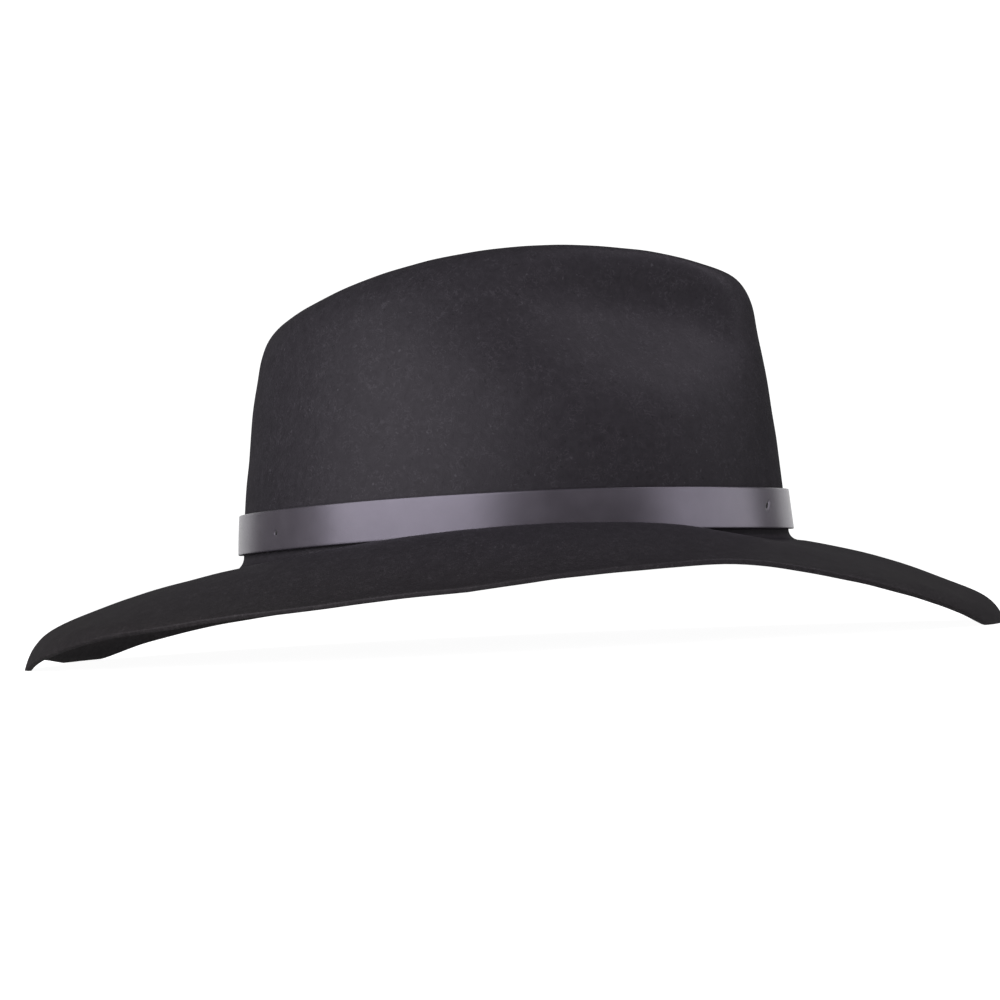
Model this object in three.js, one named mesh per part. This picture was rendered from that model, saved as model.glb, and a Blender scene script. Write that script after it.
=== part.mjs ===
// A wide-brimmed fedora of black wool felt with a plain leather band.
// Millimetres, +Z up, +X towards the front of the hat, -Y its right-hand side.
// The hat rests at z = 0 on the front and the rear lip of its brim.
// An angle round the hat is 0 at the front, 90 degrees at +Y and 180 degrees at the rear.

import * as THREE from "three";
import { mergeVertices } from "three/addons/utils/BufferGeometryUtils.js";

// Felt body
const FELT_THICKNESS = 2.0;
const SEGMENTS = 64;
const FOOT_HEIGHT = 32.9; // where the crown wall meets the brim, mean of front and rear
const FOOT_LEAN = 0.9; // how much higher that line is at the front, and lower at the rear
const FOOT_ARCH = 4.9; // how much higher it is at the sides
const FOOT_RADIUS = 3.1; // the bend between crown wall and brim
const FOOT_BEND_STEPS = 3;

// Brim outline and shape
const BRIM_HALF_LENGTH = 182.2;
const BRIM_HALF_WIDTH = 156;
const BRIM_FRONT_ROUNDNESS = 1.9; // exponent of the outline, 2 is an ellipse
const BRIM_REAR_ROUNDNESS = 2.27;
const BRIM_SWELL = 10.6; // height of the swell that lifts the brim outside the band, at the sides

// Height of the underside of the brim's edge above the resting plane, every 15 degrees.
// Where it is negative the felt is pressed flat by its own weight and rests on the plane.
const EDGE_LIFTS = [
  { angle: 0, lift: -0.8 },
  { angle: 15, lift: -0.9 },
  { angle: 30, lift: 8.7 },
  { angle: 45, lift: 19 },
  { angle: 60, lift: 27 },
  { angle: 75, lift: 25.8 },
  { angle: 90, lift: 22.3 },
  { angle: 105, lift: 18.3 },
  { angle: 120, lift: 14.4 },
  { angle: 135, lift: 10.3 },
  { angle: 150, lift: 4.5 },
  { angle: 165, lift: -1.4 },
  { angle: 180, lift: 1.8 },
];

// How the brim falls from the foot (0) to the edge (1)
const BRIM_STATIONS = [0.05, 0.13, 0.23, 0.35, 0.48, 0.61, 0.73, 0.83, 0.91, 0.965, 1];
// At the lips a straight share and a slowly steepening bow share of the fall are given,
// and the rest of it is a turned-down lip close to the edge.
const FRONT_FALL = { straight: 0.456, bow: 0.339, lipPower: 25 };
const REAR_FALL = { straight: 0.289, bow: 0.419, lipPower: 29 };
const SIDE_FALL_POWER = 0.9;
const SWELL_PEAK = 0.38; // place of the swell's crest between foot and edge
const SWELL_SIDE_POWER = 1.45; // how closely the swell keeps to the sides
const EDGE_TILT_SHARE = 0.35; // the cut edge leans over at the lips, share of the felt's thickness
const EDGE_SIDE_SHARE = 0.5; // further share of the thickness, at the sides where the edge stands upright
const SLOPE_STEP = 0.01; // short step for a slope or a tangent, in radians or as share of the brim

// Crown sections from the foot up over the crest and down into the crease.
// rise is the share of the height from foot to crest line, sink is depth below the crest line.
const CROWN_SECTIONS = [
  { rise: 0.0, sink: 0, front: 104.4, rear: -101.1, halfWidth: 82.2 },
  { rise: 0.17, sink: 0, front: 103.0, rear: -100.3, halfWidth: 81.2 },
  { rise: 0.34, sink: 0, front: 101.7, rear: -99.0, halfWidth: 79.0 },
  { rise: 0.51, sink: 0, front: 100.0, rear: -97.1, halfWidth: 75.8 },
  { rise: 0.67, sink: 0, front: 98.3, rear: -95.2, halfWidth: 71.8 },
  { rise: 0.81, sink: 0, front: 96.2, rear: -92.9, halfWidth: 66.6 },
  { rise: 0.91, sink: 0, front: 94.5, rear: -90.8, halfWidth: 61.2 },
  { rise: 0.975, sink: 0, front: 91.1, rear: -87.6, halfWidth: 54.6 },
  { rise: 1.0, sink: 0, front: 85.8, rear: -82.1, halfWidth: 47.0 },
  { rise: 1.0, sink: 2.6, front: 77.1, rear: -72.9, halfWidth: 38.5 },
  { rise: 1.0, sink: 10.5, front: 69.1, rear: -64.4, halfWidth: 29.0 },
  { rise: 1.0, sink: 19.0, front: 61.1, rear: -55.9, halfWidth: 18.5 },
  { rise: 1.0, sink: 23.5, front: 53.6, rear: -47.9, halfWidth: 6.0 },
];
const STEPS_PER_SECTION = 2;

// Crest line, the highest line round the top of the crown
const CREST_HEIGHT = 145.5;
const CREST_PEAK_X = 22.5;
const CREST_FRONT_RADIUS = 178;
const CREST_REAR_RADIUS = 243;

// Pinch dents, one on each side of the front of the crown
const PINCH_X = 54.7;
const PINCH_Z = 121.3;
const PINCH_TILT = -13; // degrees, the dent runs down towards the front
const PINCH_HALF_LENGTH = 50;
const PINCH_HALF_HEIGHT = 23;
const PINCH_DEPTH = 21;
const PINCH_FADE_START = 6; // the dents fade out between these distances from the centre line
const PINCH_FADE_END = 46;

// Leather band
const BAND_WIDTH = 15;
const BAND_THICKNESS = 1.8;
const BAND_BOTTOM = 38; // at the front and the rear
const BAND_ARCH = 2.8; // how much higher the band sits at the sides
const BAND_GAP = 0.3;
const BAND_EDGE_BEVEL = 0.35;

const FELT_COLOUR = 0x2b292d;
const LEATHER_COLOUR = 0x5b565d;

function degrees(angle) {
  return THREE.MathUtils.degToRad(angle);
}

function smoothStep(value, from, to) {
  return THREE.MathUtils.smoothstep(value, from, to);
}

// Point of the brim's outline in plan, a rounded oval with its own exponent at the front and the rear
function brimOutline(angle) {
  const c = Math.cos(angle);
  const s = Math.sin(angle);
  const roundness = c > 0 ? BRIM_FRONT_ROUNDNESS : BRIM_REAR_ROUNDNESS;
  const x = Math.sign(c) * Math.abs(c) ** (2 / roundness);
  const y = Math.sign(s) * Math.abs(s) ** (2 / roundness);
  return new THREE.Vector2(BRIM_HALF_LENGTH * x, BRIM_HALF_WIDTH * y);
}

// Smooth curve through the rows of a table, at a place counted in rows
function columnValue(rows, column, place) {
  const last = rows.length - 1;
  const row = Math.min(Math.floor(place), last - 1);
  const t = place - row;
  const start = rows[row][column];
  const end = rows[row + 1][column];
  const before = row > 0 ? rows[row - 1][column] : 2 * start - end;
  const after = row + 2 <= last ? rows[row + 2][column] : 2 * end - start;
  const bend = 2 * before - 5 * start + 4 * end - after;
  const twist = 3 * (start - end) + after - before;
  return start + 0.5 * t * (end - before + t * (bend + t * twist));
}

function footHeight(angle) {
  return FOOT_HEIGHT + FOOT_LEAN * Math.cos(angle) + FOOT_ARCH * Math.sin(angle) ** 2;
}

function crestHeight(x) {
  const radius = x > CREST_PEAK_X ? CREST_FRONT_RADIUS : CREST_REAR_RADIUS;
  return CREST_HEIGHT - (x - CREST_PEAK_X) ** 2 / (2 * radius);
}

// Angle from the front in degrees, the same on both sides of the hat
function degreesFromFront(angle) {
  return THREE.MathUtils.radToDeg(Math.acos(THREE.MathUtils.clamp(Math.cos(angle), -1, 1)));
}

// Height of the underside of the brim's edge
function edgeHeight(angle) {
  return columnValue(EDGE_LIFTS, "lift", degreesFromFront(angle) / EDGE_LIFTS[1].angle);
}

// Point on the outer face of the crown, without the pinch dents
function crownPoint(angle, place) {
  const front = columnValue(CROWN_SECTIONS, "front", place);
  const rear = columnValue(CROWN_SECTIONS, "rear", place);
  const halfWidth = columnValue(CROWN_SECTIONS, "halfWidth", place);
  const rise = columnValue(CROWN_SECTIONS, "rise", place);
  const sink = columnValue(CROWN_SECTIONS, "sink", place);
  const x = (front + rear) / 2 + ((front - rear) / 2) * Math.cos(angle);
  const y = halfWidth * Math.sin(angle);
  const foot = footHeight(angle);
  const z = foot + (crestHeight(x) - foot) * rise - sink;
  return new THREE.Vector3(x, y, z);
}

// Pushes a point of the crown inwards where a pinch dent lies
function pinched(point) {
  const tilt = degrees(PINCH_TILT);
  const dx = point.x - PINCH_X;
  const dz = point.z - PINCH_Z;
  const along = (dx * Math.cos(tilt) + dz * Math.sin(tilt)) / PINCH_HALF_LENGTH;
  const across = (dz * Math.cos(tilt) - dx * Math.sin(tilt)) / PINCH_HALF_HEIGHT;
  const depth = PINCH_DEPTH * Math.exp(-(along ** 2 + across ** 2));
  const side = Math.sign(point.y) * smoothStep(Math.abs(point.y), PINCH_FADE_START, PINCH_FADE_END);
  return new THREE.Vector3(point.x, point.y - depth * side, point.z);
}

// Foot line in plan, pushed outwards by an offset
function footPoint(angle, offset) {
  const foot = crownPoint(angle, 0);
  const ahead = crownPoint(angle + SLOPE_STEP, 0);
  const tangent = new THREE.Vector2(ahead.x - foot.x, ahead.y - foot.y).normalize();
  return new THREE.Vector3(foot.x + tangent.y * offset, foot.y - tangent.x * offset, foot.z);
}

// Slope of the brim, in radians, where it leaves the bend
function brimStartSlope(angle) {
  const here = brimPoint(angle, 0);
  const next = brimPoint(angle, SLOPE_STEP);
  return Math.atan2(next.z - here.z, Math.hypot(next.x - here.x, next.y - here.y));
}

// Shape of the swell across the brim: 0 at the foot, 1 at its crest and 0 at the edge
function swellShape(s) {
  if (s < SWELL_PEAK) {
    return Math.sin((Math.PI / 2) * (s / SWELL_PEAK));
  }
  return (1 + Math.cos((Math.PI * (s - SWELL_PEAK)) / (1 - SWELL_PEAK))) / 2;
}

// Outer face of the brim, from the end of the bend (0) to the edge (1)
function brimPoint(angle, s) {
  const start = footPoint(angle, FOOT_RADIUS);
  const edge = brimOutline(angle);
  const sideShare = Math.sin(angle) ** 2;
  const { straight, bow, lipPower } = Math.cos(angle) > 0 ? FRONT_FALL : REAR_FALL;
  const lipFall = straight * s + bow * s ** 2 + (1 - straight - bow) * s ** lipPower;
  const fall = lipFall * (1 - sideShare) + s ** SIDE_FALL_POWER * sideShare;
  const swell = BRIM_SWELL * sideShare ** SWELL_SIDE_POWER * swellShape(s);
  const edgeRise = FELT_THICKNESS * (EDGE_TILT_SHARE + EDGE_SIDE_SHARE * sideShare);
  const edgeTop = edgeHeight(angle) + edgeRise;
  const z = start.z + (edgeTop - start.z) * fall + swell;
  return new THREE.Vector3(start.x + (edge.x - start.x) * s, start.y + (edge.y - start.y) * s, z);
}

// Point at a height on the crown wall near the foot, pushed outwards by an offset
function wallPoint(angle, z, offset) {
  const foot = footPoint(angle, 0);
  const rise = (z - foot.z) / (crestHeight(foot.x) - foot.z);
  const place = rise / CROWN_SECTIONS[1].rise;
  const wall = crownPoint(angle, place);
  const outward = footPoint(angle, 1).sub(foot);
  return new THREE.Vector3(wall.x, wall.y, z).addScaledVector(outward, offset);
}

// Bend from the crown wall (0) to the brim (1)
function bendPoint(angle, share) {
  const turn = (Math.PI / 2 + brimStartSlope(angle)) * share;
  const offset = FOOT_RADIUS * (1 - Math.cos(turn));
  const point = wallPoint(angle, footHeight(angle) + FOOT_RADIUS, offset);
  point.z -= FOOT_RADIUS * Math.sin(turn);
  return point;
}

// Rings of the outer felt face, from the brim's edge to the floor of the crease
function outerRings() {
  const rings = [];
  const ring = (place) => {
    const points = [];
    for (let i = 0; i < SEGMENTS; i += 1) {
      points.push(place((i / SEGMENTS) * 2 * Math.PI));
    }
    rings.push(points);
  };
  for (const s of [...BRIM_STATIONS].reverse()) {
    ring((angle) => brimPoint(angle, s));
  }
  for (let i = FOOT_BEND_STEPS; i >= 0; i -= 1) {
    ring((angle) => bendPoint(angle, i / FOOT_BEND_STEPS));
  }
  const steps = (CROWN_SECTIONS.length - 1) * STEPS_PER_SECTION;
  for (let i = 1; i <= steps; i += 1) {
    ring((angle) => pinched(crownPoint(angle, i / STEPS_PER_SECTION)));
  }
  return rings;
}

// Index list that joins rings into a tube, first ring to last
function tubeFaces(ringCount, firstIndex) {
  const faces = [];
  for (let r = 0; r < ringCount - 1; r += 1) {
    for (let i = 0; i < SEGMENTS; i += 1) {
      const a = firstIndex + r * SEGMENTS + i;
      const b = firstIndex + r * SEGMENTS + ((i + 1) % SEGMENTS);
      faces.push(a, b, b + SEGMENTS, a, b + SEGMENTS, a + SEGMENTS);
    }
  }
  return faces;
}

// Index list that closes a narrow last ring straight across its width
function capFaces(firstIndex) {
  const faces = [];
  const half = SEGMENTS / 2;
  for (let i = 0; i < half; i += 1) {
    const a = firstIndex + i;
    const b = firstIndex + i + 1;
    const c = firstIndex + ((SEGMENTS - i - 1) % SEGMENTS);
    const d = firstIndex + ((SEGMENTS - i) % SEGMENTS);
    if (i > 0) {
      faces.push(a, b, d);
    }
    if (i < half - 1) {
      faces.push(b, c, d);
    }
  }
  return faces;
}

function geometryFrom(points, faces) {
  const positions = new THREE.Float32BufferAttribute(points.flatMap((p) => [p.x, p.y, p.z]), 3);
  const geometry = new THREE.BufferGeometry();
  geometry.setAttribute("position", positions);
  geometry.setIndex(faces);
  return geometry;
}

function reversed(faces) {
  const result = [];
  for (let i = 0; i < faces.length; i += 3) {
    result.push(faces[i], faces[i + 2], faces[i + 1]);
  }
  return result;
}

// Crown and brim: one felt wall, its inner face a constant depth behind the outer one
function feltBody() {
  const rings = outerRings();
  const outer = rings.flat();
  const skinFaces = [...tubeFaces(rings.length, 0), ...capFaces((rings.length - 1) * SEGMENTS)];
  const skin = geometryFrom(outer, skinFaces);
  skin.computeVertexNormals();
  const normals = skin.getAttribute("normal");
  const inner = outer.map((point, i) => {
    const normal = new THREE.Vector3().fromBufferAttribute(normals, i);
    return point.clone().addScaledVector(normal, -FELT_THICKNESS);
  });
  const points = [...outer, ...inner];
  for (const point of points) {
    point.z = Math.max(point.z, 0);
  }
  const faces = [...skinFaces, ...reversed(skinFaces).map((index) => index + outer.length)];
  for (let i = 0; i < SEGMENTS; i += 1) {
    const j = (i + 1) % SEGMENTS;
    faces.push(i, outer.length + i, outer.length + j, i, outer.length + j, j);
  }
  return geometryFrom(points, faces);
}

// Band: a flat strap with slightly bevelled edges, closed into a ring round the crown
function hatBand() {
  const inner = BAND_GAP;
  const outer = BAND_GAP + BAND_THICKNESS;
  const bevel = BAND_EDGE_BEVEL;
  const section = [
    { offset: inner, height: 0 },
    { offset: outer - bevel, height: 0 },
    { offset: outer, height: bevel },
    { offset: outer, height: BAND_WIDTH - bevel },
    { offset: outer - bevel, height: BAND_WIDTH },
    { offset: inner, height: BAND_WIDTH },
    { offset: inner, height: 0 },
  ];
  const points = section.flatMap(({ offset, height }) => {
    const ring = [];
    for (let i = 0; i < SEGMENTS; i += 1) {
      const angle = (i / SEGMENTS) * 2 * Math.PI;
      const bottom = BAND_BOTTOM + BAND_ARCH * Math.sin(angle) ** 2;
      ring.push(wallPoint(angle, bottom + height, offset));
    }
    return ring;
  });
  return mergeVertices(geometryFrom(points, tubeFaces(section.length, 0)));
}

function part(name, geometry, material) {
  geometry.computeVertexNormals();
  const mesh = new THREE.Mesh(geometry, material);
  mesh.name = name;
  return mesh;
}

const felt = new THREE.MeshStandardMaterial({ color: FELT_COLOUR, roughness: 0.95, metalness: 0 });
const leather = new THREE.MeshStandardMaterial({ color: LEATHER_COLOUR, roughness: 0.42, metalness: 0 });

const group = new THREE.Group();
group.add(part("crown_and_brim", feltBody(), felt));
group.add(part("hat_band", hatBand(), leather));

export default group;
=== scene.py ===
import math

import bmesh
import bpy
import numpy as np
from mathutils import Matrix, Vector, noise


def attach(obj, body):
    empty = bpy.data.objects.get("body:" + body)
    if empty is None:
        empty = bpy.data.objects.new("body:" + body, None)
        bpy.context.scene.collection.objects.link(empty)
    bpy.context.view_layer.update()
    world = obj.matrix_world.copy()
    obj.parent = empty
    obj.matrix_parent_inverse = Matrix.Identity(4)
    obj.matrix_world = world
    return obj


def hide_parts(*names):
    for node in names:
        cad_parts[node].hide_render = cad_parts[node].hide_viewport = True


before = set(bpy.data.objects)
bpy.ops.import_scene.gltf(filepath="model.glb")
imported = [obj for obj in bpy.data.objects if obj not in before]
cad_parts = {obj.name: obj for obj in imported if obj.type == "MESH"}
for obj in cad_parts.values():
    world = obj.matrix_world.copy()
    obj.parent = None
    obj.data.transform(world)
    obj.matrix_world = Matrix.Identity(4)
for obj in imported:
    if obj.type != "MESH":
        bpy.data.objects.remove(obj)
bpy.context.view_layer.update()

# A wide-brimmed fedora of black wool felt with a plain leather band.
# Sizes of the hat are millimetres, as in the part's source, and meshes are made in metres.
# An angle round the hat is 0 at the front (+X), 90 degrees at +Y and 180 degrees at the rear.

MM = 0.001
QUARTER_TURN = math.pi / 2

# Felt body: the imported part's own sizes, with a fuller bend at the foot of the crown
FELT_THICKNESS = 2.0
FOOT_HEIGHT = 32.9
FOOT_LEAN = 0.9
FOOT_ARCH = 4.9
FOOT_RADIUS = 3.1
FRONT_BEND_EXTRA = 0.9
REAR_BEND_EXTRA = 2.6
BRIM_HALF_LENGTH = 182.2
BRIM_HALF_WIDTH = 156.0
BRIM_FRONT_ROUNDNESS = 1.9
BRIM_REAR_ROUNDNESS = 2.27
BRIM_SWELL = 10.6
EDGE_LIFT_STEP = 15.0
EDGE_LIFTS = [-0.8, -0.9, 8.7, 19.0, 27.0, 25.8, 22.3, 18.3, 14.4, 10.3, 4.5, -1.4, 1.8]
FRONT_FALL = {"straight": 0.456, "bow": 0.339, "lip_power": 25}
REAR_FALL = {"straight": 0.289, "bow": 0.419, "lip_power": 29}
SIDE_FALL_POWER = 0.9
SWELL_PEAK = 0.38
SWELL_SIDE_POWER = 1.45
EDGE_TILT_SHARE = 0.35
EDGE_SIDE_SHARE = 0.5
SLOPE_STEP = 0.01

# Crown sections from the foot over the crest and down into the crease
SECTION_RISE = [0.0, 0.17, 0.34, 0.51, 0.67, 0.81, 0.91, 0.975, 1.0, 1.0, 1.0, 1.0, 1.0]
SECTION_SINK = [0, 0, 0, 0, 0, 0, 0, 0, 0, 2.6, 10.5, 19.0, 23.5]
SECTION_FRONT = [
    104.4, 103.0, 101.7, 100.0, 98.3, 96.2, 94.5, 91.1, 85.8, 77.1, 69.1, 61.1, 53.6,
]
SECTION_REAR = [
    -101.1, -100.3, -99.0, -97.1, -95.2, -92.9, -90.8, -87.6, -82.1, -72.9, -64.4, -55.9, -47.9,
]
SECTION_HALF_WIDTH = [
    82.2, 81.2, 79.0, 75.8, 71.8, 66.6, 61.2, 54.6, 47.0, 38.5, 29.0, 18.5, 6.0,
]
CREST_HEIGHT = 145.5
CREST_PEAK_X = 22.5
CREST_FRONT_RADIUS = 178.0
CREST_REAR_RADIUS = 243.0
CREASE_FLOOR_DIP = 1.1

# Pinch dents at the front of the crown
PINCH_X = 54.7
PINCH_Z = 121.3
PINCH_TILT = -13.0
PINCH_HALF_LENGTH = 50.0
PINCH_HALF_HEIGHT = 23.0
PINCH_DEPTH = 21.0
PINCH_FADE_START = 6.0
PINCH_FADE_END = 46.0

# Soft unevenness of hand-shaped felt, faded out towards the band: on the crown by height, and on
# the brim by the distance from the hat's centre, which is 1 at the foot of the crown
LARGE_BUMP_HEIGHT = 0.42
LARGE_BUMPS = {"size": 38.0, "seed": 3.7}
SMALL_BUMP_HEIGHT = 0.16
SMALL_BUMPS = {"size": 13.0, "seed": 9.1}
CROWN_FADE = {"start": 62.0, "end": 74.0}
BRIM_FADE = {"start": 1.12, "end": 1.4}
BRIM_TOP = 60.0
FOOT_HALF_LENGTH = 103.0
FOOT_HALF_WIDTH = 82.0

# Fineness of the felt mesh
FELT_SEGMENTS = 288
BRIM_STEPS = 34
LIP_STEPS = 16
LIP_START = 0.86
BEND_STEPS = 7
BEND_CLEARANCE = 0.3
CROWN_STEPS_PER_SECTION = 7
CREASE_STEPS = 5
EDGE_ROUND = 0.7
EDGE_ARC_STEPS = 4

# Leather band
BAND_WIDTH = 15.0
BAND_THICKNESS = 1.8
BAND_BOTTOM = 38.0
BAND_ARCH = 2.8
BAND_GAP = 0.3
BAND_OUTER_ROUND = 0.5
BAND_INNER_ROUND = 0.3
BAND_LINE_HEIGHT = 7.0
BAND_END_RUN = 0.5
BAND_END_ROUND = 0.35
JOINT_ANGLE = 97.0
JOINT_GAP = 0.35
JOINT_RADIUS = 82.0

# Fineness of the band's mesh, angles in degrees
BAND_SEGMENTS = 420
BAND_CORNER_STEPS = 4
BAND_FACE_ROWS = 22
BAND_BACK_ROWS = 8
BAND_END_TURNS = (0.04, 0.1, 0.2, 0.36)
TACK_ROWS = {"start": 3.6, "stop": 11.2, "step": 0.3}
TACK_FINE_REACH = 2.4
TACK_FINE_STEP = 0.16
FACE_MARGIN = 0.1

# Tacks that hold the band. Each has its angle round the hat, its height on the band, its slant,
# the half length, half width and depth of its dimple, and the length of its thread.
REAR_TACK = {"height": 6.5, "long": 0.9, "wide": 0.7, "depth": 0.45, "thread": 1.5}
FRONT_TACK = {"height": 8.4, "long": 1.7, "wide": 0.8, "depth": 0.45, "thread": 2.7}
TACKS = [
    {"angle": 218.0, "slant": 12.0, **REAR_TACK},
    {"angle": 337.2, "slant": 42.0, **FRONT_TACK},
    {"angle": 142.0, "slant": -12.0, **REAR_TACK},
    {"angle": 22.8, "slant": -42.0, **FRONT_TACK},
]
DIMPLE_REACH = 4.0
THREAD_RADIUS = 0.45
THREAD_SINK_SHARE = 0.75
THREAD_END_DIP = 0.45
THREAD_END_FLATNESS = 0.02
THREAD_STEPS = 9
THREAD_SIDES = 8

# Colours, with linear red, green and blue
FELT_DARK = (0.0133, 0.0118, 0.0144, 1)
FELT_MID = (0.0172, 0.0155, 0.0188, 1)
FELT_LIGHT = (0.0211, 0.0191, 0.0230, 1)
FELT_HAIR = (0.038, 0.0345, 0.041, 1)
FELT_FLECK = (0.036, 0.033, 0.039, 1)
FELT_PIT = (0.007, 0.0065, 0.0075, 1)
# Painted shade: darker, less purple felt low on the brim
FELT_LOW_PAINTED_SHADE = (0.86, 0.85, 0.76, 1)
FELT_GLOSS = (0.97, 0.90, 1.0, 1)
LEATHER_DARK = (0.033, 0.029, 0.035, 1)
LEATHER_LIGHT = (0.046, 0.041, 0.049, 1)
LEATHER_CUT = (0.018, 0.016, 0.020, 1)
LEATHER_GLOSS = (0.87, 0.80, 1.0, 1)
THREAD_DARK = (0.004, 0.004, 0.005, 1)
THREAD_LIGHT = (0.012, 0.011, 0.013, 1)
FLOOR_DARK = (0.49, 0.49, 0.49, 1)
FLOOR_LIGHT = (0.51, 0.51, 0.51, 1)
WHITE = (1, 1, 1, 1)

# Stage, in metres. The floor lies a hair below the hat's rest.
FLOOR_RADIUS = 5.0
FLOOR_DROP = 0.0002

# Camera, in metres and radians, at the photograph's viewing angle: low, and rolled a little
CAMERA_DISTANCE = 1.2
CAMERA_TURN = 0.0948
CAMERA_ROLL = 0.0494
CAMERA_HEIGHT = 0.034
CAMERA_SIDE = 0.0022
CAMERA_LENS = 114.93
CAMERA_SENSOR = 36.0
CAMERA_SHIFT_X = -0.0175
CAMERA_SHIFT_Y = 0.0531
CLIP_START = 0.05
CLIP_END = 50.0

# Lights aim at this height above the hat's centre. The surroundings are white to the eye, and dim
# for all other light.
LIGHT_AIM_HEIGHT = 0.06
SKY_TO_EYE = 1.1
SKY_TO_HAT = 0.13


def smooth_step(value, start, end):
    t = np.clip((value - start) / (end - start), 0.0, 1.0)
    return t * t * (3 - 2 * t)


def column(values, place):
    """Smooth curve through a table's column at a place counted in rows."""
    values = np.asarray(values, float)
    place = np.asarray(place, float)
    last = len(values) - 1
    row = np.clip(np.floor(place).astype(int), 0, last - 1)
    t = place - row
    start = values[row]
    end = values[row + 1]
    before = np.where(row > 0, values[np.maximum(row - 1, 0)], 2 * start - end)
    after = np.where(row + 2 <= last, values[np.minimum(row + 2, last)], 2 * end - start)
    bend = 2 * before - 5 * start + 4 * end - after
    twist = 3 * (start - end) + after - before
    return start + 0.5 * t * (end - before + t * (bend + t * twist))


def stack(x, y, z):
    return np.stack(np.broadcast_arrays(x, y, z), axis=-1).astype(float)


def lengths_along(points):
    """Length along a line of points from its first point to each of them."""
    steps = np.linalg.norm(np.diff(points, axis=0), axis=1)
    return np.concatenate([[0.0], np.cumsum(steps)])


def brim_outline(angle):
    c = np.cos(angle)
    s = np.sin(angle)
    roundness = np.where(c > 0, BRIM_FRONT_ROUNDNESS, BRIM_REAR_ROUNDNESS)
    x = BRIM_HALF_LENGTH * np.sign(c) * np.abs(c) ** (2 / roundness)
    y = BRIM_HALF_WIDTH * np.sign(s) * np.abs(s) ** (2 / roundness)
    return x, y


def foot_height(angle):
    return FOOT_HEIGHT + FOOT_LEAN * np.cos(angle) + FOOT_ARCH * np.sin(angle) ** 2


def foot_radius(angle):
    """Bend between crown and brim, fuller at the front and the rear, where the band leaves room."""
    c = np.cos(angle)
    return FOOT_RADIUS + np.where(c > 0, FRONT_BEND_EXTRA, REAR_BEND_EXTRA) * c ** 2


def crest_height(x):
    radius = np.where(x > CREST_PEAK_X, CREST_FRONT_RADIUS, CREST_REAR_RADIUS)
    return CREST_HEIGHT - (x - CREST_PEAK_X) ** 2 / (2 * radius)


def edge_height(angle):
    from_front = np.degrees(np.arccos(np.clip(np.cos(angle), -1, 1)))
    return column(EDGE_LIFTS, from_front / EDGE_LIFT_STEP)


def crown_point(angle, place):
    """Point of the crown before it is pinched, at a place counted in rows of the section tables."""
    front = column(SECTION_FRONT, place)
    rear = column(SECTION_REAR, place)
    x = (front + rear) / 2 + (front - rear) / 2 * np.cos(angle)
    y = column(SECTION_HALF_WIDTH, place) * np.sin(angle)
    foot = foot_height(angle)
    rise = (crest_height(x) - foot) * column(SECTION_RISE, place)
    z = foot + rise - column(SECTION_SINK, place)
    return stack(x, y, z)


def pinched(points):
    tilt = math.radians(PINCH_TILT)
    dx = points[..., 0] - PINCH_X
    dz = points[..., 2] - PINCH_Z
    along = (dx * math.cos(tilt) + dz * math.sin(tilt)) / PINCH_HALF_LENGTH
    across = (dz * math.cos(tilt) - dx * math.sin(tilt)) / PINCH_HALF_HEIGHT
    depth = PINCH_DEPTH * np.exp(-(along ** 2 + across ** 2))
    y = points[..., 1]
    fade = smooth_step(np.abs(y), PINCH_FADE_START, PINCH_FADE_END)
    result = points.copy()
    result[..., 1] = y - depth * np.sign(y) * fade
    return result


def foot_point(angle, offset):
    """Point at the foot of the crown's wall, moved out from it by an offset."""
    foot = crown_point(angle, 0.0)
    ahead = crown_point(angle + SLOPE_STEP, 0.0)
    tx = ahead[..., 0] - foot[..., 0]
    ty = ahead[..., 1] - foot[..., 1]
    length = np.hypot(tx, ty)
    x = foot[..., 0] + ty / length * offset
    y = foot[..., 1] - tx / length * offset
    return stack(x, y, foot[..., 2])


def lip_fall(s, straight, bow, lip_power):
    """Share of the brim's fall that is reached at a share of its breadth."""
    return straight * s + bow * s ** 2 + (1 - straight - bow) * s ** lip_power


def swell_shape(s):
    """Shape of the swell across the brim: 0 at the foot, 1 at its crest and 0 at the edge."""
    rising = np.sin(QUARTER_TURN * s / SWELL_PEAK)
    falling = (1 + np.cos(math.pi * (s - SWELL_PEAK) / (1 - SWELL_PEAK))) / 2
    return np.where(s < SWELL_PEAK, rising, falling)


def brim_point(angle, s):
    """Point of the brim's upper face: s is 0 at the bend and 1 at the edge."""
    s = np.asarray(s, float)
    start = foot_point(angle, foot_radius(angle))
    edge_x, edge_y = brim_outline(angle)
    side = np.sin(angle) ** 2
    at_lip = np.where(np.cos(angle) > 0, lip_fall(s, **FRONT_FALL), lip_fall(s, **REAR_FALL))
    fall = at_lip * (1 - side) + s ** SIDE_FALL_POWER * side
    swell = BRIM_SWELL * side ** SWELL_SIDE_POWER * swell_shape(s)
    edge_top = edge_height(angle) + FELT_THICKNESS * (EDGE_TILT_SHARE + EDGE_SIDE_SHARE * side)
    z = start[..., 2] + (edge_top - start[..., 2]) * fall + swell
    x = start[..., 0] + (edge_x - start[..., 0]) * s
    y = start[..., 1] + (edge_y - start[..., 1]) * s
    return stack(x, y, z)


def wall_point(angle, z, offset):
    """Point beside the crown's wall at a height, moved out from the wall by an offset."""
    foot = foot_point(angle, 0.0)
    rise = (z - foot[..., 2]) / (crest_height(foot[..., 0]) - foot[..., 2])
    wall = crown_point(angle, rise / SECTION_RISE[1])
    outward = foot_point(angle, 1.0) - foot
    return stack(wall[..., 0], wall[..., 1], z) + outward * np.asarray(offset)[..., None]


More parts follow.
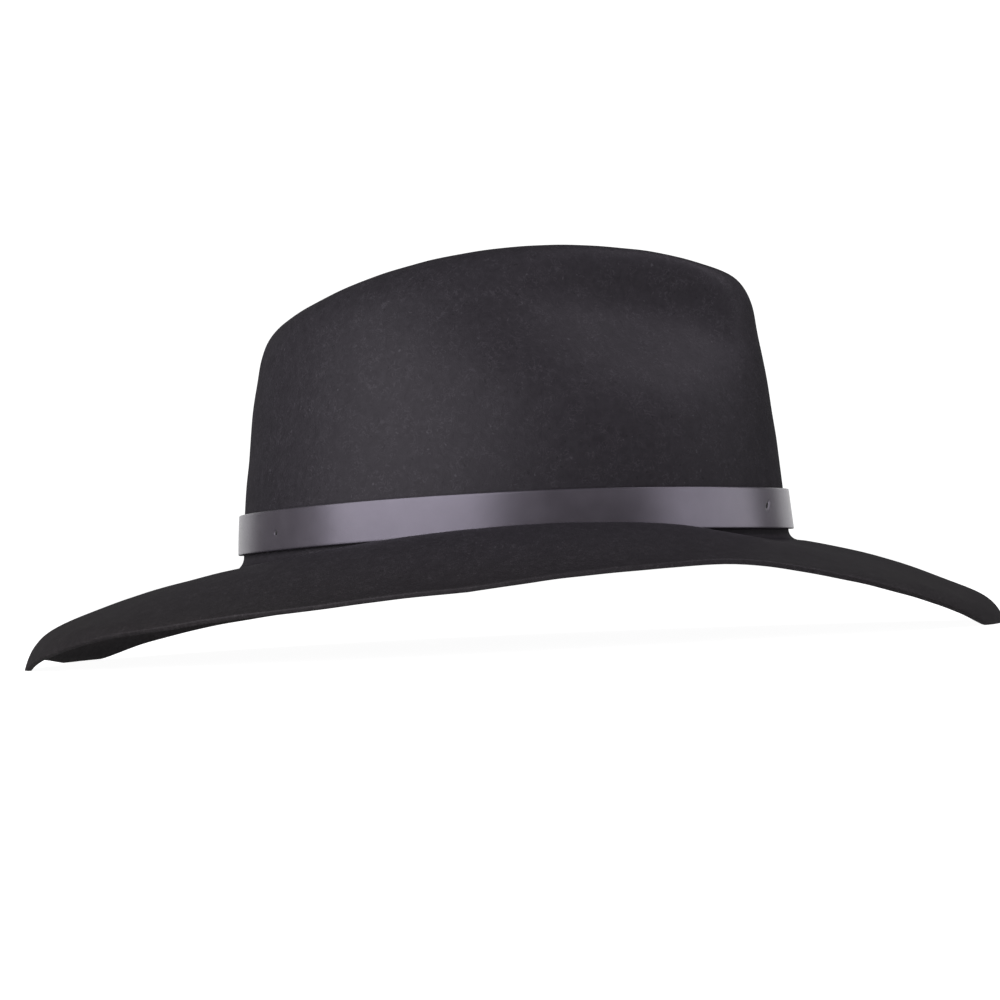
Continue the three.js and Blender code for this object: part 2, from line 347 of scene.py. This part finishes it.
def bend_point(angle, share):
    """Point of the bend between crown and brim: share is 0 at the wall and 1 at the brim."""
    here = brim_point(angle, 0.0)
    step = brim_point(angle, SLOPE_STEP) - here
    slope = np.arctan2(step[..., 2], np.hypot(step[..., 0], step[..., 1]))
    turn = (QUARTER_TURN + slope) * share
    radius = foot_radius(angle)
    point = wall_point(angle, foot_height(angle) + radius, radius * (1 - np.cos(turn)))
    point[..., 2] -= radius * np.sin(turn)
    return point


def grid_normals(grid):
    """Outward normals of rings that run from the brim's edge up to the centre of the crease."""
    around = np.roll(grid, -1, axis=1) - np.roll(grid, 1, axis=1)
    along = np.gradient(grid, axis=0)
    normal = np.cross(around, along)
    length = np.linalg.norm(normal, axis=-1, keepdims=True)
    upright = np.zeros_like(normal)
    upright[..., 2] = 1.0
    normals = np.where(length > 1e-6, normal / np.maximum(length, 1e-9), upright)
    normals[-1, :, :] = (0.0, 0.0, 1.0)
    return normals


def uneven(points, size, seed):
    """Soft noise between about -1 and 1 at every point, with bumps of that size in millimetres."""
    flat = points.reshape(-1, 3) / size + seed
    values = [noise.noise(Vector(p)) for p in flat]
    return np.array(values).reshape(points.shape[:-1])


def felt_rings():
    """Rings of the outer felt face from the brim's edge to the floor of the crease."""
    angle = np.arange(FELT_SEGMENTS) / FELT_SEGMENTS * 2 * math.pi
    rings = []

    # The brim's face ends short of its edge by the edge's rounding
    near_edge = 1.0 - 0.1 * SLOPE_STEP
    last_step = brim_point(angle, 1.0) - brim_point(angle, near_edge)
    lip_run = np.linalg.norm(last_step, axis=-1)
    face_end = 1.0 - EDGE_ROUND * (1.0 - near_edge) / lip_run
    stations = np.concatenate([
        np.linspace(0.0, LIP_START, BRIM_STEPS + 1)[1:],
        np.linspace(LIP_START, 1.0, LIP_STEPS + 1)[1:],
    ])
    for station in stations[::-1]:
        rings.append(brim_point(angle, station * face_end))
    for i in range(BEND_STEPS, -1, -1):
        rings.append(bend_point(angle, i / BEND_STEPS))
    steps = (len(SECTION_RISE) - 1) * CROWN_STEPS_PER_SECTION
    for i in range(1, steps + 1):
        ring = crown_point(angle, i / CROWN_STEPS_PER_SECTION)
        above_bend = ring[:, 2] - (foot_height(angle) + foot_radius(angle))
        if above_bend.min() > BEND_CLEARANCE:
            rings.append(pinched(ring))
    floor = rings[-1]
    for i in range(1, CREASE_STEPS + 1):
        u = i / CREASE_STEPS
        ring = floor.copy()
        ring[:, 1] *= 1 - u
        ring[:, 2] -= CREASE_FLOOR_DIP * np.abs(np.sin(angle)) * (1 - (1 - u) ** 2)
        rings.append(ring)
    return np.array(rings)


def felt_grids():
    """Rings of the outer felt face with their unevenness, and their normals."""
    grid = felt_rings()
    normals = grid_normals(grid)
    height = grid[..., 2]
    reach = np.hypot(grid[..., 0] / FOOT_HALF_LENGTH, grid[..., 1] / FOOT_HALF_WIDTH)
    above_band = smooth_step(height, **CROWN_FADE)
    on_brim = smooth_step(reach, **BRIM_FADE) * (height < BRIM_TOP)
    share = np.maximum(above_band, on_brim)
    large = LARGE_BUMP_HEIGHT * uneven(grid, **LARGE_BUMPS)
    small = SMALL_BUMP_HEIGHT * uneven(grid, **SMALL_BUMPS)
    grid = grid + normals * ((large + small) * share)[..., None]
    return grid, grid_normals(grid)


def mesh_object(name, points, faces, material):
    mesh = bpy.data.meshes.new(name)
    mesh.from_pydata((np.asarray(points) * MM).tolist(), [], faces)
    mesh.validate()
    mesh.polygons.foreach_set("use_smooth", [True] * len(mesh.polygons))
    mesh.materials.append(material)
    mesh.update()
    obj = bpy.data.objects.new(name, mesh)
    bpy.context.scene.collection.objects.link(obj)
    return obj


def drop_vertices(obj, indices):
    bm = bmesh.new()
    bm.from_mesh(obj.data)
    bm.verts.ensure_lookup_table()
    bmesh.ops.delete(bm, geom=[bm.verts[i] for i in indices], context="VERTS")
    bm.to_mesh(obj.data)
    bm.free()


def edge_rings(grid, normals):
    """Rings of the brim's rounded raw edge between the outer and the inner face."""
    outward = grid[0] - grid[1]
    outward /= np.linalg.norm(outward, axis=-1, keepdims=True)
    down = -normals[0]
    rings = []
    for i in range(1, EDGE_ARC_STEPS + 1):
        turn = QUARTER_TURN * i / EDGE_ARC_STEPS
        depth = 1 - math.cos(turn)
        rings.append(grid[0] + outward * EDGE_ROUND * math.sin(turn) + down * EDGE_ROUND * depth)
    for i in range(EDGE_ARC_STEPS):
        turn = QUARTER_TURN * i / EDGE_ARC_STEPS
        depth = FELT_THICKNESS - EDGE_ROUND * (1 - math.sin(turn))
        rings.append(grid[0] + outward * EDGE_ROUND * math.cos(turn) + down * depth)
    return np.array(rings)


def felt_body(material):
    grid, normals = felt_grids()
    inner = grid - normals * FELT_THICKNESS
    rings = np.concatenate([grid[::-1], edge_rings(grid, normals), inner])
    count, around = rings.shape[:2]
    points = rings.reshape(-1, 3).copy()

    # The felt that carries the hat is pressed flat
    points[:, 2] = np.maximum(points[:, 2], 0.0)

    # The first and the last ring lie on the centre line, so their mirrored points are one
    def index(r, i):
        i %= around
        if r in (0, count - 1):
            i = min(i, (around - i) % around)
        return r * around + i

    faces = []
    for r in range(count - 1):
        for i in range(around):
            loop = [index(r, i), index(r + 1, i), index(r + 1, i + 1), index(r, i + 1)]
            face = [v for n, v in enumerate(loop) if v not in loop[:n]]
            if len(face) > 2:
                faces.append(face)
    obj = mesh_object("felt_body", points, faces, material)
    loose = list(range(around // 2 + 1, around))
    last = (count - 1) * around
    drop_vertices(obj, loose + [last + v for v in loose])
    return obj


def band_bottom(angle):
    return BAND_BOTTOM + BAND_ARCH * np.sin(angle) ** 2


def arc_radius(angle):
    """Length of band per radian of the hat's angle."""
    height = band_bottom(angle) + BAND_LINE_HEIGHT
    ahead = wall_point(np.array([angle + SLOPE_STEP]), height, BAND_THICKNESS)
    here = wall_point(np.array([angle]), height, BAND_THICKNESS)
    return float(np.linalg.norm(ahead - here)) / SLOPE_STEP


def band_section():
    """Offsets and heights round the strap's cut, outer edges rounded more than the inner ones."""
    section = []

    def corner(offset, height, radius, start):
        for i in range(BAND_CORNER_STEPS + 1):
            turn = math.radians(start + 90 * i / BAND_CORNER_STEPS)
            section.append((offset + radius * math.cos(turn), height + radius * math.sin(turn)))

    inner = BAND_GAP
    outer = BAND_GAP + BAND_THICKNESS
    low = BAND_OUTER_ROUND
    high = BAND_WIDTH - BAND_OUTER_ROUND
    corner(outer - BAND_OUTER_ROUND, low, BAND_OUTER_ROUND, -90)

    # The face has closer rows where the tacks are
    heights = sorted(set(np.round(np.concatenate([
        np.linspace(low, high, BAND_FACE_ROWS),
        np.arange(**TACK_ROWS),
    ]), 3)))
    section.extend((outer, h) for h in heights if low + FACE_MARGIN < h < high - FACE_MARGIN)
    corner(outer - BAND_OUTER_ROUND, high, BAND_OUTER_ROUND, 0)
    corner(inner + BAND_INNER_ROUND, BAND_WIDTH - BAND_INNER_ROUND, BAND_INNER_ROUND, 90)
    section.extend((inner, h) for h in np.linspace(BAND_WIDTH, 0, BAND_BACK_ROWS)[1:-1])
    corner(inner + BAND_INNER_ROUND, BAND_INNER_ROUND, BAND_INNER_ROUND, 180)
    return np.array(section)


def band_angles():
    """Angles along the strap from one side of the joint to the other, closer at the tacks."""
    half_gap = math.degrees(JOINT_GAP / 2 / JOINT_RADIUS)
    start = JOINT_ANGLE + half_gap
    end = JOINT_ANGLE + 360 - half_gap
    angles = list(np.linspace(start, end, BAND_SEGMENTS))
    for tack in TACKS:
        centre = tack["angle"] if tack["angle"] > start else tack["angle"] + 360
        first = centre - TACK_FINE_REACH
        last = centre + TACK_FINE_REACH
        angles.extend(np.arange(first, last + 0.01, TACK_FINE_STEP))
    for turn in BAND_END_TURNS:
        angles.extend([start + turn, end - turn])
    return np.radians(sorted(set(np.round(angles, 4))))


def dimple_depth(tack, angle, height):
    """How far a tack pulls the leather in, at an angle and heights on the band."""
    turn = (math.degrees(angle) - tack["angle"] + 180) % 360 - 180
    if abs(turn) >= DIMPLE_REACH:
        return np.zeros_like(height)
    arc = math.radians(turn) * arc_radius(math.radians(tack["angle"]))
    slant = math.radians(tack["slant"])
    rise = height - tack["height"]
    along = (rise * math.cos(slant) + arc * math.sin(slant)) / tack["long"]
    across = (arc * math.cos(slant) - rise * math.sin(slant)) / tack["wide"]
    return tack["depth"] * np.exp(-(along ** 2 + across ** 2))


def leather_band(material):
    section = band_section()
    on_face = section[:, 0] > BAND_GAP + BAND_THICKNESS - FACE_MARGIN
    angles = band_angles()
    line = wall_point(angles, band_bottom(angles) + BAND_LINE_HEIGHT, BAND_THICKNESS)
    length = lengths_along(line)
    half_width = BAND_WIDTH / 2
    half_thickness = BAND_THICKNESS / 2
    middle = BAND_GAP + half_thickness
    rings = []
    for i, angle in enumerate(angles):
        offset = section[:, 0].copy()
        height = section[:, 1].copy()
        at = np.full(len(section), angle)

        # The cut ends are rounded a little
        from_end = min(length[i], length[-1] - length[i])
        if from_end < BAND_END_RUN:
            drop = 1 - math.sqrt(max(0.0, 1 - (1 - from_end / BAND_END_RUN) ** 2))
            shrink = BAND_END_ROUND * drop
            offset = middle + (offset - middle) * (1 - shrink / half_thickness)
            height = half_width + (height - half_width) * (1 - shrink / half_width)
        for tack in TACKS:
            offset = np.where(on_face, offset - dimple_depth(tack, angle, height), offset)
        rings.append(wall_point(at, band_bottom(at) + height, offset))
    rings = np.array(rings)
    count, around = rings.shape[:2]
    faces = []
    for r in range(count - 1):
        here = r * around
        ahead = here + around
        for i in range(around):
            j = (i + 1) % around
            faces.append([here + i, ahead + i, ahead + j, here + j])
    last = (count - 1) * around
    faces.append(list(range(around)))
    faces.append(list(range(last, last + around))[::-1])
    obj = mesh_object("leather_band", rings.reshape(-1, 3), faces, material)

    # Strap coordinates for the leather's grain: u along the strap, v round its cut, in metres
    around_cut = lengths_along(section)
    layer = obj.data.uv_layers.new(name="strap")
    coords = np.empty((len(obj.data.loops), 2))
    vertex = np.empty(len(obj.data.loops), int)
    obj.data.loops.foreach_get("vertex_index", vertex)
    coords[:, 0] = length[vertex // around] * MM
    coords[:, 1] = around_cut[vertex % around] * MM
    layer.data.foreach_set("uv", coords.ravel())
    return obj


def tack_path(tack):
    """Points along a tack's thread, which dips into the leather at both ends."""
    slant = math.radians(tack["slant"])
    centre = math.radians(tack["angle"])
    per_radian = arc_radius(centre)
    path = []
    for i in range(THREAD_STEPS):
        t = i / (THREAD_STEPS - 1) * 2 - 1
        rise = t * tack["thread"] / 2 * math.cos(slant)
        arc = t * tack["thread"] / 2 * math.sin(slant)
        angle = centre + arc / per_radian
        sink = tack["depth"] * THREAD_SINK_SHARE
        lift = BAND_GAP + BAND_THICKNESS - sink - THREAD_END_DIP * t ** 4
        path.append(wall_point(angle, band_bottom(angle) + tack["height"] + rise, lift))
    return np.array(path).reshape(-1, 3)


def tack_threads(material):
    """Short dark stitches that lie in the dimples."""
    points = []
    faces = []
    for tack in TACKS:
        path = tack_path(tack)
        centre = math.radians(tack["angle"])
        outward = foot_point(centre, 1.0) - foot_point(centre, 0.0)
        outward = outward.reshape(3) / np.linalg.norm(outward)
        first = len(points)
        for i in range(THREAD_STEPS):
            t = i / (THREAD_STEPS - 1) * 2 - 1
            ahead = path[min(i + 1, THREAD_STEPS - 1)] - path[max(i - 1, 0)]
            ahead /= np.linalg.norm(ahead)
            side = np.cross(ahead, outward)
            side /= np.linalg.norm(side)
            up = np.cross(side, ahead)
            radius = THREAD_RADIUS * math.sqrt(max(THREAD_END_FLATNESS, 1 - t ** 6))
            for k in range(THREAD_SIDES):
                turn = k / THREAD_SIDES * 2 * math.pi
                points.append(path[i] + radius * (math.cos(turn) * side + math.sin(turn) * up))
        for i in range(THREAD_STEPS - 1):
            for k in range(THREAD_SIDES):
                a = first + i * THREAD_SIDES + k
                b = first + i * THREAD_SIDES + (k + 1) % THREAD_SIDES
                faces.append([a, b, b + THREAD_SIDES, a + THREAD_SIDES])
        last = first + (THREAD_STEPS - 1) * THREAD_SIDES
        faces.append(list(range(first, first + THREAD_SIDES))[::-1])
        faces.append(list(range(last, last + THREAD_SIDES)))
    return mesh_object("tack_threads", np.array(points), faces, material)


class Nodes:
    """Short calls for building a material's or the world's node tree."""

    def __init__(self, tree):
        self.tree = tree
        self.tree.nodes.clear()

    def add(self, kind, **values):
        node = self.tree.nodes.new(kind)
        for key, value in values.items():
            setattr(node, key, value)
        return node

    def link(self, source, target):
        self.tree.links.new(source, target)

    def fill(self, socket, value):
        """Sets a socket to a number or colour, or links it to another node's output."""
        if isinstance(value, (int, float, tuple)):
            socket.default_value = value
        else:
            self.link(value, socket)

    def noise(self, vector, scale, detail=2.0, roughness=0.5, distortion=0.0):
        node = self.add("ShaderNodeTexNoise")
        node.inputs["Scale"].default_value = scale
        node.inputs["Detail"].default_value = detail
        node.inputs["Roughness"].default_value = roughness
        node.inputs["Distortion"].default_value = distortion
        self.link(vector, node.inputs["Vector"])
        return node.outputs["Fac"]

    def span(self, value, low, high, to_low=0.0, to_high=1.0):
        node = self.add("ShaderNodeMapRange")
        node.inputs["From Min"].default_value = low
        node.inputs["From Max"].default_value = high
        node.inputs["To Min"].default_value = to_low
        node.inputs["To Max"].default_value = to_high
        self.link(value, node.inputs["Value"])
        return node.outputs["Result"]

    def math(self, operation, a, b):
        node = self.add("ShaderNodeMath", operation=operation)
        self.fill(node.inputs[0], a)
        self.fill(node.inputs[1], b)
        return node.outputs["Value"]

    def mix(self, factor, a, b, blend="MIX"):
        """Mix of two colours, which are the node's inputs 6 and 7, to its output 2."""
        node = self.add("ShaderNodeMix", data_type="RGBA", blend_type=blend)
        self.fill(node.inputs[0], factor)
        self.fill(node.inputs[6], a)
        self.fill(node.inputs[7], b)
        return node.outputs[2]

    def bump(self, height, strength, distance, before=None):
        node = self.add("ShaderNodeBump")
        node.inputs["Strength"].default_value = strength
        node.inputs["Distance"].default_value = distance
        self.link(height, node.inputs["Height"])
        if before is not None:
            self.link(before, node.inputs["Normal"])
        return node.outputs["Normal"]


def new_material(name):
    material = bpy.data.materials.new(name)
    material.use_nodes = True
    nodes = Nodes(material.node_tree)
    shader = nodes.add("ShaderNodeBsdfPrincipled")
    output = nodes.add("ShaderNodeOutputMaterial")
    nodes.link(shader.outputs["BSDF"], output.inputs["Surface"])
    return material, nodes, shader


def felt_material():
    material, nodes, shader = new_material("black_felt")
    place = nodes.add("ShaderNodeTexCoord").outputs["Object"]
    stretch = nodes.add("ShaderNodeMapping")
    stretch.inputs["Scale"].default_value = (1.0, 1.0, 0.8)
    nodes.link(place, stretch.inputs["Vector"])
    stretched = stretch.outputs["Vector"]
    patches = nodes.noise(place, scale=45.0, detail=3.0, roughness=0.55)
    mottle = nodes.noise(stretched, scale=420.0, detail=4.0, roughness=0.62, distortion=0.6)
    fibres = nodes.noise(place, scale=1500.0, detail=3.0, roughness=0.6, distortion=2.2)
    flecks = nodes.noise(place, scale=620.0, detail=1.0, roughness=0.4, distortion=0.3)

    # Matted hairs: thin curls in patches
    curls = nodes.noise(place, scale=390.0, detail=1.0, roughness=0.5, distortion=1.4)
    off_line = nodes.math("ABSOLUTE", nodes.math("SUBTRACT", curls, 0.5), 0.0)
    matted = nodes.span(nodes.noise(place, scale=150.0), 0.42, 0.56)
    on_line = nodes.span(off_line, 0.035, 0.008, to_high=0.5)
    hair_share = nodes.math("MULTIPLY", on_line, matted)

    colour = nodes.mix(nodes.span(mottle, 0.32, 0.68), FELT_DARK, FELT_LIGHT)
    colour = nodes.mix(nodes.span(patches, 0.3, 0.7, to_low=0.25, to_high=0.6), colour, FELT_MID)
    colour = nodes.mix(hair_share, colour, FELT_HAIR)
    colour = nodes.mix(nodes.span(flecks, 0.73, 0.80), colour, FELT_FLECK)
    colour = nodes.mix(nodes.span(flecks, 0.28, 0.23, to_high=0.5), colour, FELT_PIT)

    # Low on the brim the felt is painted a little darker and less purple: painted shade for the
    # duller light that falls there
    parts = nodes.add("ShaderNodeSeparateXYZ")
    nodes.link(place, parts.inputs["Vector"])
    painted_shade_share = nodes.span(parts.outputs["Z"], 0.040, 0.016)
    colour = nodes.mix(painted_shade_share, colour, FELT_LOW_PAINTED_SHADE, "MULTIPLY")
    roughness = nodes.span(fibres, 0.3, 0.7, to_low=0.42, to_high=0.50)
    nodes.link(colour, shader.inputs["Base Color"])
    nodes.link(roughness, shader.inputs["Roughness"])
    shader.inputs["Specular IOR Level"].default_value = 0.095
    shader.inputs["Specular Tint"].default_value = FELT_GLOSS
    soft = nodes.bump(mottle, strength=0.5, distance=0.00035)
    fine = nodes.bump(fibres, strength=0.6, distance=0.00012, before=soft)
    nodes.link(fine, shader.inputs["Normal"])
    return material


def leather_material():
    material, nodes, shader = new_material("band_leather")
    place = nodes.add("ShaderNodeUVMap", uv_map="strap").outputs["UV"]
    clouds = nodes.noise(place, scale=90.0, detail=3.0, roughness=0.5)
    grain = nodes.noise(place, scale=1400.0, detail=3.0, roughness=0.55)
    creases = nodes.noise(place, scale=420.0, distortion=0.8)
    parts = nodes.add("ShaderNodeSeparateXYZ")
    nodes.link(place, parts.inputs["Vector"])

    # The cut edges are darker than the face, which lies between 1 and 15 mm round the cut
    round_cut = parts.outputs["Y"]
    past_low_edge = nodes.span(round_cut, 0.0005, 0.0012)
    before_high_edge = nodes.span(round_cut, 0.0154, 0.0147)
    on_face = nodes.math("MULTIPLY", past_low_edge, before_high_edge)
    face = nodes.mix(nodes.span(clouds, 0.3, 0.7), LEATHER_DARK, LEATHER_LIGHT)
    colour = nodes.mix(on_face, LEATHER_CUT, face)
    roughness = nodes.span(grain, 0.3, 0.7, to_low=0.28, to_high=0.36)
    nodes.link(colour, shader.inputs["Base Color"])
    nodes.link(roughness, shader.inputs["Roughness"])
    shader.inputs["IOR"].default_value = 1.62
    shader.inputs["Specular Tint"].default_value = LEATHER_GLOSS
    coarse = nodes.math("MULTIPLY", creases, 0.6)
    fine = nodes.math("MULTIPLY", grain, 0.4)
    relief = nodes.bump(nodes.math("ADD", coarse, fine), strength=0.22, distance=0.0001)
    nodes.link(relief, shader.inputs["Normal"])
    return material


def thread_material():
    material, nodes, shader = new_material("tack_thread")
    place = nodes.add("ShaderNodeTexCoord").outputs["Object"]
    twist = nodes.noise(place, scale=3000.0)
    nodes.link(nodes.mix(twist, THREAD_DARK, THREAD_LIGHT), shader.inputs["Base Color"])
    shader.inputs["Roughness"].default_value = 0.7
    nodes.link(nodes.bump(twist, strength=0.5, distance=0.0001), shader.inputs["Normal"])
    return material


def floor_material():
    material, nodes, shader = new_material("studio_floor")
    place = nodes.add("ShaderNodeTexCoord").outputs["Object"]
    grain = nodes.noise(place, scale=60.0)
    nodes.link(nodes.mix(grain, FLOOR_DARK, FLOOR_LIGHT), shader.inputs["Base Color"])
    shader.inputs["Roughness"].default_value = 0.9
    shader.inputs["Specular IOR Level"].default_value = 0.1
    shader.inputs["Emission Color"].default_value = WHITE
    shader.inputs["Emission Strength"].default_value = 0.96
    return material


felt = felt_body(felt_material())
band = leather_band(leather_material())
threads = tack_threads(thread_material())
for piece in (felt, band, threads):
    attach(piece, "root")
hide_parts("crown_and_brim")
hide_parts("hat_band")

# Floor, which the hat's gloss doesn't mirror, so that the felt's underside stays dark
bpy.ops.mesh.primitive_circle_add(
    vertices=96,
    radius=FLOOR_RADIUS,
    fill_type="NGON",
    location=(0, 0, -FLOOR_DROP),
)
floor = bpy.context.object
floor.name = "studio_floor"
floor.data.materials.append(floor_material())
floor.visible_glossy = False

# Camera
view_axis = Vector((-math.sin(CAMERA_TURN), math.cos(CAMERA_TURN), 0))
right = Vector((math.cos(CAMERA_TURN), math.sin(CAMERA_TURN), 0))
upright = Vector((0, 0, 1))
tilted_right = right * math.cos(CAMERA_ROLL) - upright * math.sin(CAMERA_ROLL)
tilted_up = upright * math.cos(CAMERA_ROLL) + right * math.sin(CAMERA_ROLL)
camera_data = bpy.data.cameras.new("camera")
camera_data.sensor_fit = "HORIZONTAL"
camera_data.sensor_width = CAMERA_SENSOR
camera_data.lens = CAMERA_LENS
camera_data.shift_x = CAMERA_SHIFT_X
camera_data.shift_y = CAMERA_SHIFT_Y
camera_data.clip_start = CLIP_START
camera_data.clip_end = CLIP_END
camera = bpy.data.objects.new("camera", camera_data)
bpy.context.scene.collection.objects.link(camera)
axes = Matrix((tilted_right, tilted_up, -view_axis)).transposed().to_4x4()
camera_place = Vector((CAMERA_SIDE, 0, CAMERA_HEIGHT)) - view_axis * CAMERA_DISTANCE
camera.matrix_world = Matrix.Translation(camera_place) @ axes
bpy.context.scene.camera = camera


def softbox(name, left, up, distance, width, height, radiance, colour=(1, 1, 1)):
    """A large soft light, placed by degrees to the left of the camera's direction and upwards."""
    turn = math.radians(left)
    rise = math.radians(up)
    across = -view_axis * math.cos(turn) - right * math.sin(turn)
    direction = across * math.cos(rise) + upright * math.sin(rise)
    data = bpy.data.lights.new(name, "AREA")
    data.shape = "RECTANGLE"
    data.size = width
    data.size_y = height
    data.energy = radiance * width * height * math.pi
    data.color = colour
    light = bpy.data.objects.new(name, data)
    bpy.context.scene.collection.objects.link(light)
    light.location = Vector((0, 0, LIGHT_AIM_HEIGHT)) + direction * distance
    light.rotation_euler = direction.to_track_quat("Z", "Y").to_euler()
    return light


softbox(
    "key_left",
    left=42, up=20, distance=1.6, width=1.95, height=1.5, radiance=5.0,
)
softbox(
    "fill_right",
    left=-76, up=10, distance=1.6, width=1.65, height=0.9, radiance=1.3,
)
softbox(
    "fill_high",
    left=-95, up=50, distance=1.6, width=0.9, height=0.9, radiance=3.8, colour=(1.0, 0.955, 1.03),
)

# Lights that only the smooth leather mirrors, because felt has hardly any gloss
gleam_right = softbox(
    "gleam_right",
    left=-76, up=10, distance=1.7, width=1.75, height=0.95, radiance=1.75,
)
gleam_behind = softbox(
    "gleam_behind",
    left=180, up=10, distance=1.6, width=4.0, height=0.9, radiance=1.1,
)
leather_only = bpy.data.collections.new("leather_only")
leather_only.objects.link(band)
for light in (gleam_right, gleam_behind):
    light.light_linking.receiver_collection = leather_only

# Surroundings
world = bpy.data.worlds.new("studio")
bpy.context.scene.world = world
world.use_nodes = True
sky = Nodes(world.node_tree)
seen = sky.add("ShaderNodeLightPath").outputs["Is Camera Ray"]
strength = sky.span(seen, 0.0, 1.0, to_low=SKY_TO_HAT, to_high=SKY_TO_EYE)
background = sky.add("ShaderNodeBackground")
background.inputs["Color"].default_value = WHITE
sky.link(strength, background.inputs["Strength"])
output = sky.add("ShaderNodeOutputWorld")
sky.link(background.outputs["Background"], output.inputs["Surface"])

bpy.context.scene.view_settings.view_transform = "Standard"
